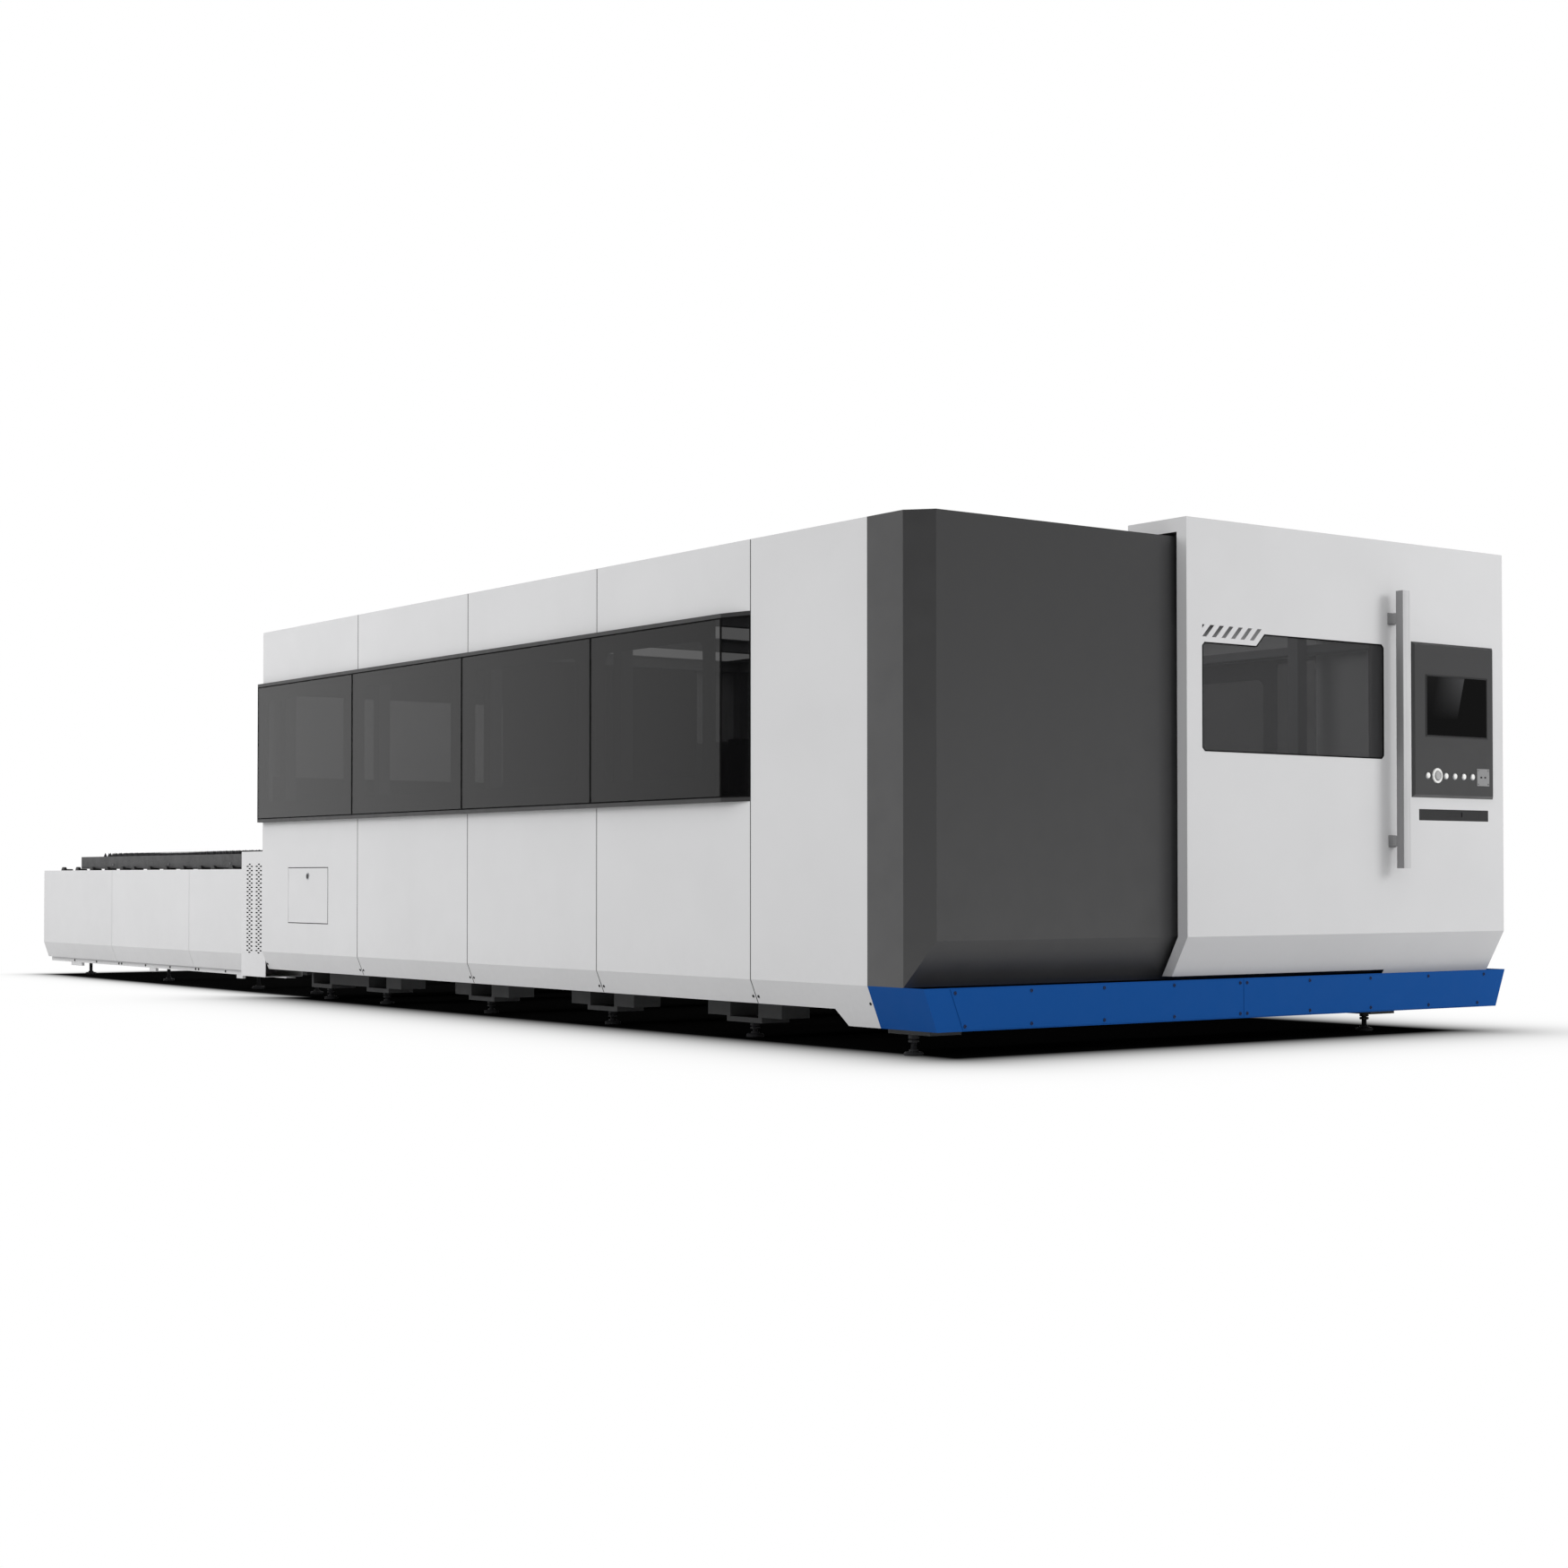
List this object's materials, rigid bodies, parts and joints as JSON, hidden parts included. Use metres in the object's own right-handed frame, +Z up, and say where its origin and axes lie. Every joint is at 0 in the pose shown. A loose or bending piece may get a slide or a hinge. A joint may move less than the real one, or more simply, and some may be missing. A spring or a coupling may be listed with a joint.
{
  "type": "fiber laser cutting machine",
  "caption": "Enclosed fiber laser cutting machine with a sliding front door, operator panel, ribbon windows, gantry with cutting head, and a two-level pallet exchange platform.",
  "frame": {"origin": "on the floor below the middle of the overall length and width", "axes": "+X along the machine towards the sliding door, +Y across it away from the hatch side, +Z up"},
  "size_m": [10.344, 3.57, 2.185],
  "materials": {
    "white_panel": "light grey-white powder coat, satin",
    "dark_panel": "dark grey powder coat, satin",
    "frame_grey": "mid grey paint, matt",
    "blue_panel": "deep blue powder coat, satin",
    "black_steel": "blackened steel, matt",
    "steel": "brushed",
    "window_glass": "grey tinted laser safety glass",
    "screen_glass": "gloss black",
    "black_plastic": "matt black",
    "white_plastic": "satin white",
    "grey_plastic": "satin grey"
  },
  "bodies": {
    "machine": {"bed_frame": "frame_grey", "base_brackets": "frame_grey", "levelling_feet": "black_steel", "guide_rails": "steel", "bed_rollers": "black_steel", "near_frame": "frame_grey", "far_frame": "frame_grey", "roof_beams": "frame_grey", "roof_panels": "white_panel", "near_lower_panels": "white_panel", "near_upper_panels": "white_panel", "near_end_panel": "white_panel", "near_window_rails": "dark_panel", "near_window_panes": "window_glass", "near_window_frames": "dark_panel", "far_lower_panels": "white_panel", "far_upper_panels": "white_panel", "far_end_panel": "white_panel", "far_window_rails": "dark_panel", "far_window_panes": "window_glass", "far_window_frames": "dark_panel", "rear_wall": "white_panel", "vent_pillars": "white_panel", "front_cowl": "dark_panel", "front_skirt": "blue_panel", "skirt_covers": "blue_panel", "roof_track": "steel", "trough_track": "black_steel", "platform_frame": "frame_grey", "platform_panels": "white_panel", "platform_rollers": "black_steel"},
    "hatch": {"hatch_door": "white_panel"},
    "lock": {"hatch_lock": "black_steel"},
    "door": {"door_shell": "dark_panel", "door_window": "window_glass", "door_handle": "steel", "door_hangers": "steel", "control_housing": "dark_panel", "control_panel": "dark_panel", "screen": "screen_glass", "socket_plate": "steel"},
    "drawer": {"keyboard_drawer": "black_plastic"},
    "stop": {"e_stop": "grey_plastic"},
    "gantry": {"gantry_beam": "frame_grey", "gantry_trucks": "steel", "gantry_motors": "black_steel", "cross_rails": "steel"},
    "cross_carriage": {"carriage": "frame_grey"},
    "head": {"z_slide": "steel", "cutting_head": "black_steel", "nozzle": "steel"},
    "upper_pallet": {"upper_pallet_frame": "frame_grey", "upper_pallet_slats": "black_steel"},
    "lower_pallet": {"lower_pallet_frame": "frame_grey", "lower_pallet_slats": "black_steel"},
    "push_button_1": {"button_1": "white_plastic"},
    "push_button_2": {"button_2": "white_plastic"},
    "push_button_3": {"button_3": "white_plastic"},
    "push_button_4": {"button_4": "white_plastic"},
    "push_button_5": {"button_5": "white_plastic"}
  },
  "joints": [
    {"name": "door_slide", "type": "slide", "parent": "machine", "child": "door", "axis": [0, -1, 0], "range_m": [0, 1.25]},
    {"name": "drawer_slide", "type": "slide", "parent": "door", "child": "drawer", "axis": [1, 0, 0], "range_m": [0, 0.18]},
    {"name": "stop_press", "type": "slide", "parent": "door", "child": "stop", "axis": [-1, 0, 0], "range_m": [0, 0.005], "stiffness_N_per_m": 1500},
    {"name": "gantry_travel", "type": "slide", "parent": "machine", "child": "gantry", "axis": [-1, 0, 0], "range_m": [0, 3.6]},
    {"name": "carriage_travel", "type": "slide", "parent": "gantry", "child": "cross_carriage", "axis": [0, 1, 0], "range_m": [-1.25, 1.25]},
    {"name": "head_lift", "type": "slide", "parent": "cross_carriage", "child": "head", "axis": [0, 0, 1], "range_m": [-0.09, 0.1]},
    {"name": "upper_pallet_slide", "type": "slide", "parent": "machine", "child": "upper_pallet", "axis": [1, 0, 0], "range_m": [0, 4]},
    {"name": "lower_pallet_slide", "type": "slide", "parent": "machine", "child": "lower_pallet", "axis": [-1, 0, 0], "range_m": [0, 4]},
    {"name": "hatch_hinge", "type": "hinge", "parent": "machine", "child": "hatch", "pos_m": [-0.541, -1.75, 0.6005], "axis": [0, 0, -1], "range_deg": [0, 110]},
    {"name": "lock_turn", "type": "hinge", "parent": "hatch", "child": "lock", "pos_m": [-0.2935, -1.75, 0.707], "axis": [0, -1, 0], "range_deg": [0, 90]},
    {"name": "button_1_press", "type": "slide", "parent": "door", "child": "push_button_1", "axis": [-1, 0, 0], "range_m": [0, 0.004], "stiffness_N_per_m": 800},
    {"name": "button_2_press", "type": "slide", "parent": "door", "child": "push_button_2", "axis": [-1, 0, 0], "range_m": [0, 0.004], "stiffness_N_per_m": 800},
    {"name": "button_3_press", "type": "slide", "parent": "door", "child": "push_button_3", "axis": [-1, 0, 0], "range_m": [0, 0.004], "stiffness_N_per_m": 800},
    {"name": "button_4_press", "type": "slide", "parent": "door", "child": "push_button_4", "axis": [-1, 0, 0], "range_m": [0, 0.004], "stiffness_N_per_m": 800},
    {"name": "button_5_press", "type": "slide", "parent": "door", "child": "push_button_5", "axis": [-1, 0, 0], "range_m": [0, 0.004], "stiffness_N_per_m": 800}
  ]
}
